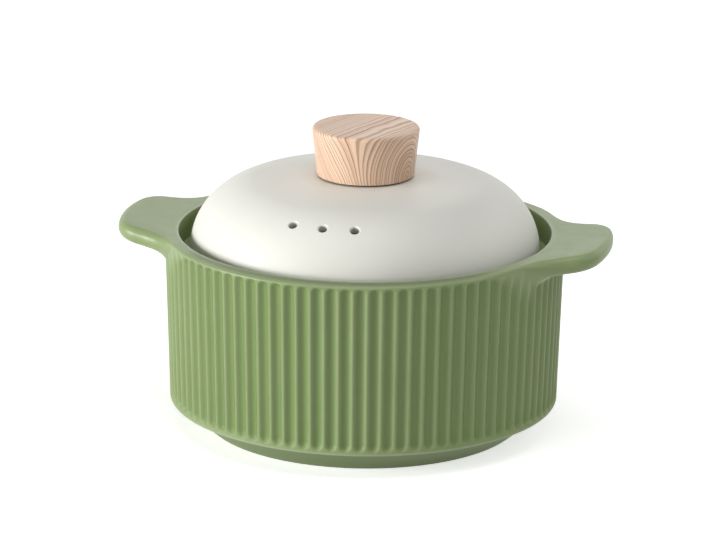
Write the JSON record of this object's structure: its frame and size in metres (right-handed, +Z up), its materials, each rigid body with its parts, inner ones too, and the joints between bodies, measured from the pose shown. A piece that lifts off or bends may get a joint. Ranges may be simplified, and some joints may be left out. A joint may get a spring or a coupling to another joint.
{
  "type": "ceramic stew pot",
  "caption": "Round fluted ceramic stew pot with lug handles and a foot ring, and a domed lift-off lid with steam holes and a turned wooden knob.",
  "frame": {"origin": "centre of the foot ring, on the plane that the pot stands on", "axes": "+Z up along the pot's axis, +X through the two lug handles"},
  "size_m": [0.2486, 0.2, 0.1521],
  "materials": {
    "green_glaze": "satin matte sage green glaze",
    "cream_glaze": "satin matte cream glaze",
    "pale_wood": "turned pale wood with brown grain lines, thin matte lacquer",
    "silicone": "matte grey silicone",
    "stainless_steel": "turned stainless steel",
    "brass": "turned brass"
  },
  "bodies": {
    "pot": {"pot_body": "green_glaze"},
    "lid_assembly": {"lid": "cream_glaze", "lid_knob": "pale_wood", "knob_gasket": "silicone", "knob_insert": "brass", "knob_screw": "stainless_steel", "knob_washer": "stainless_steel", "screw_seal": "silicone"}
  },
  "joints": [
    {"name": "lid_lift", "type": "slide", "parent": "pot", "child": "lid_assembly", "axis": [0, 0, 1], "range_m": [0, 0.12]}
  ]
}
